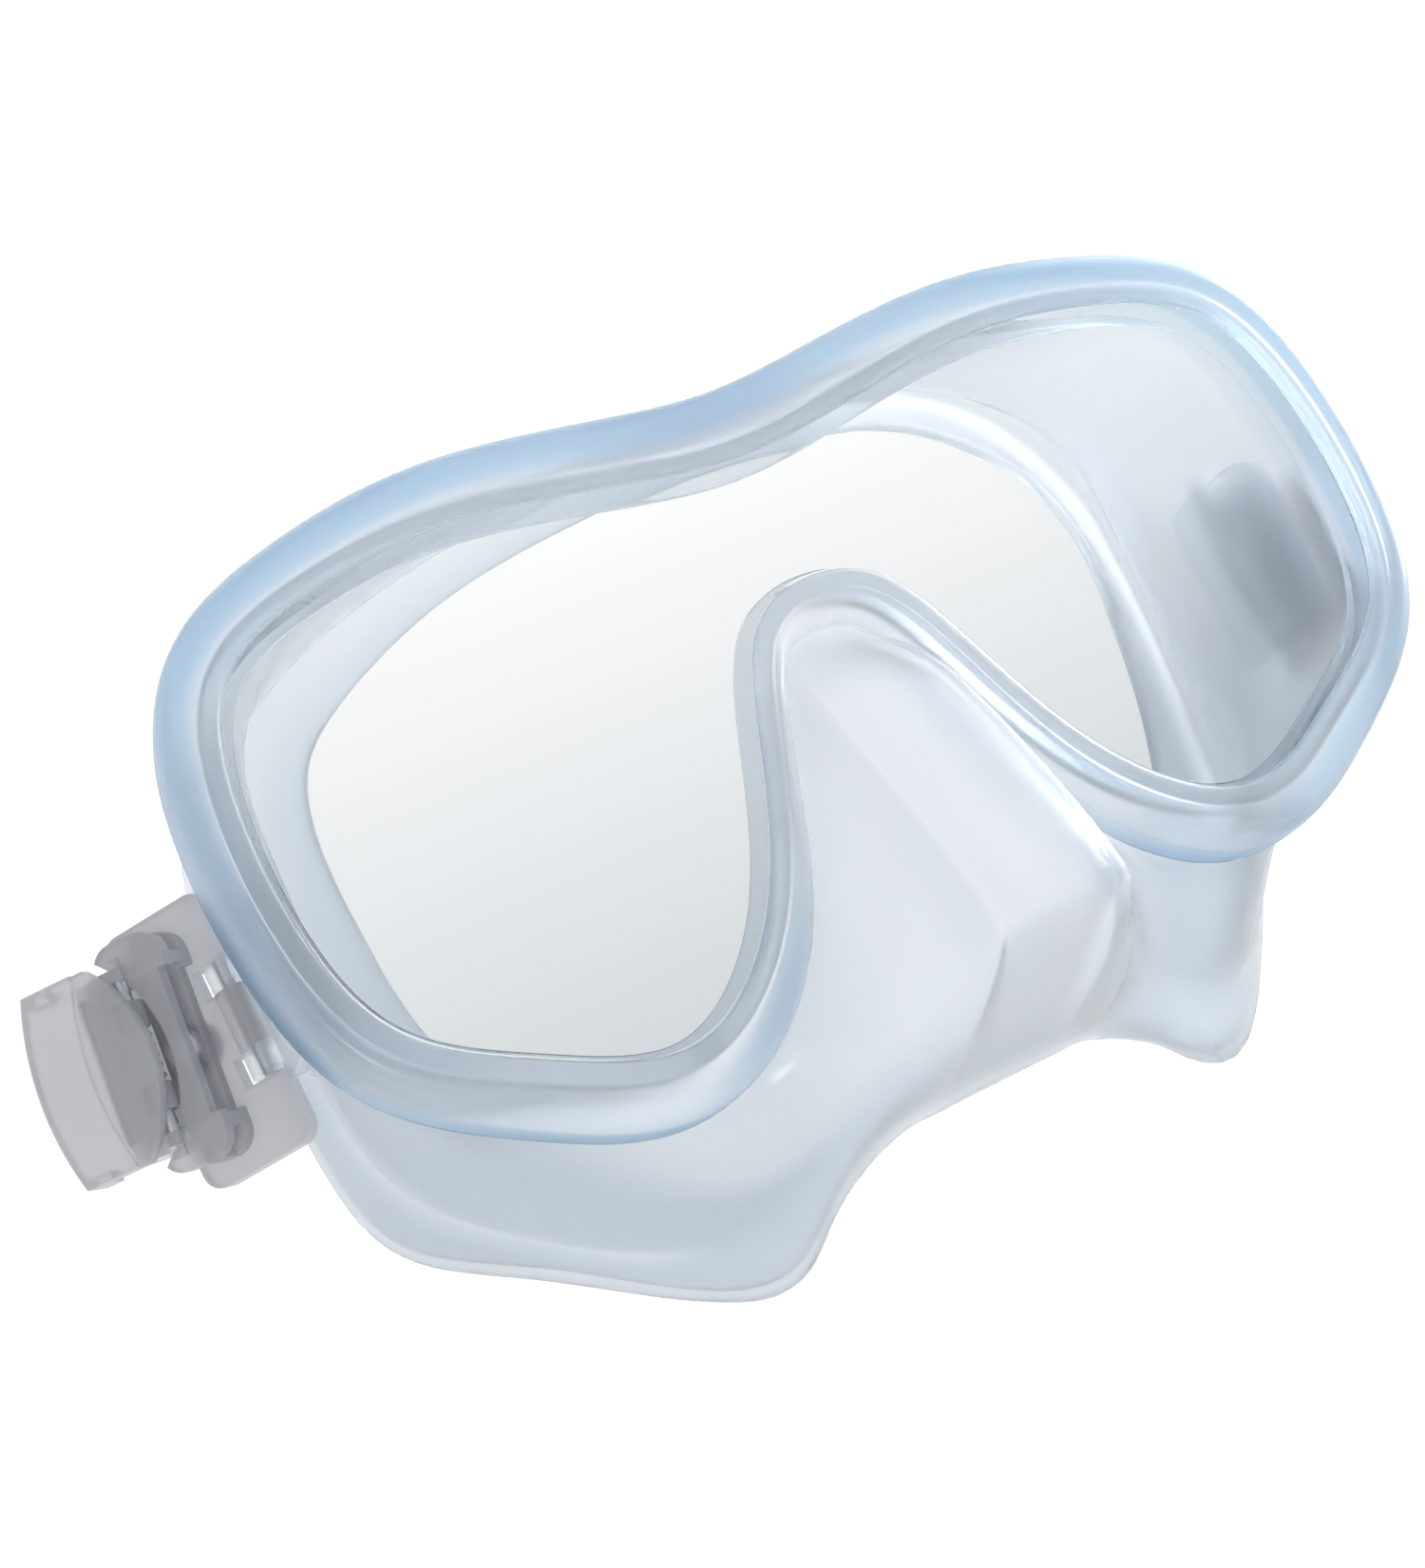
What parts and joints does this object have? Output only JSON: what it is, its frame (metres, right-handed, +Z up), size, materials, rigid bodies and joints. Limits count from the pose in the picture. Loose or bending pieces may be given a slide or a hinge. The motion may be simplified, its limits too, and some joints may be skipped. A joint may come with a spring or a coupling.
{
  "type": "diving mask",
  "caption": "Frameless single-lens diving mask with a soft translucent silicone skirt, a nose pocket and a folding, swivelling strap buckle on each temple.",
  "frame": {"origin": "on the plane of symmetry, where the face seal meets the wearer's face, level with the middle of the lens and 45 mm behind its front face", "axes": "+Z up and -Y the way the wearer looks; +X is towards the wearer's left"},
  "size_m": [0.2084, 0.0783, 0.1054],
  "materials": {
    "tempered_glass": "clear, polished, flat tempered glass",
    "silicone": "translucent ice-blue moulded silicone, satin",
    "clear_polycarbonate": "clear, faintly smoky injection-moulded polycarbonate, glossy",
    "stainless_steel": "drawn stainless wire and pins"
  },
  "bodies": {
    "mask": {"lens": "tempered_glass", "skirt": "silicone", "right_anchor": "clear_polycarbonate", "right_hinge_pin": "stainless_steel", "left_anchor": "clear_polycarbonate", "left_hinge_pin": "stainless_steel"},
    "right_swivel": {"right_swivel_plate": "clear_polycarbonate", "right_swivel_pin": "clear_polycarbonate"},
    "right_buckle": {"right_buckle_body": "clear_polycarbonate", "right_roller_axle": "stainless_steel", "right_lever_pin": "stainless_steel", "right_lever_spring": "stainless_steel"},
    "right_strap_roller": {"right_roller": "clear_polycarbonate"},
    "right_lever": {"right_release_lever": "clear_polycarbonate"},
    "left_swivel": {"left_swivel_plate": "clear_polycarbonate", "left_swivel_pin": "clear_polycarbonate"},
    "left_buckle": {"left_buckle_body": "clear_polycarbonate", "left_roller_axle": "stainless_steel", "left_lever_pin": "stainless_steel", "left_lever_spring": "stainless_steel"},
    "left_strap_roller": {"left_roller": "clear_polycarbonate"},
    "left_lever": {"left_release_lever": "clear_polycarbonate"}
  },
  "joints": [
    {"name": "right_fold", "type": "hinge", "parent": "mask", "child": "right_swivel", "pos_m": [-0.0784, -0.0115, -0.004], "axis": [0, 0, -1], "range_deg": [-35, 55]},
    {"name": "right_tilt", "type": "hinge", "parent": "right_swivel", "child": "right_buckle", "pos_m": [-0.08463, -0.00714, -0.004], "axis": [0.5736, 0.8192, 0], "range_deg": [-20, 10]},
    {"name": "right_roller_spin", "type": "hinge", "parent": "right_buckle", "child": "right_strap_roller", "pos_m": [-0.09276, -0.00694, -0.00341], "axis": [0.0714, -0.05, 0.9962], "continuous": true},
    {"name": "right_lever_press", "type": "hinge", "parent": "right_buckle", "child": "right_lever", "pos_m": [-0.09123, -0.0124, -0.00379], "axis": [0.0714, -0.05, 0.9962], "range_deg": [0, 25], "stiffness_Nm_per_rad": 0.02, "springref_deg": -17.19},
    {"name": "left_fold", "type": "hinge", "parent": "mask", "child": "left_swivel", "pos_m": [0.0784, -0.0115, -0.004], "axis": [0, 0, 1], "range_deg": [-35, 55]},
    {"name": "left_tilt", "type": "hinge", "parent": "left_swivel", "child": "left_buckle", "pos_m": [0.08463, -0.00714, -0.004], "axis": [0.5736, -0.8192, 0], "range_deg": [-20, 10]},
    {"name": "left_roller_spin", "type": "hinge", "parent": "left_buckle", "child": "left_strap_roller", "pos_m": [0.09276, -0.00694, -0.00341], "axis": [-0.0714, -0.05, 0.9962], "continuous": true},
    {"name": "left_lever_press", "type": "hinge", "parent": "left_buckle", "child": "left_lever", "pos_m": [0.09123, -0.0124, -0.00379], "axis": [0.0714, 0.05, -0.9962], "range_deg": [0, 25], "stiffness_Nm_per_rad": 0.02, "springref_deg": -17.19}
  ]
}
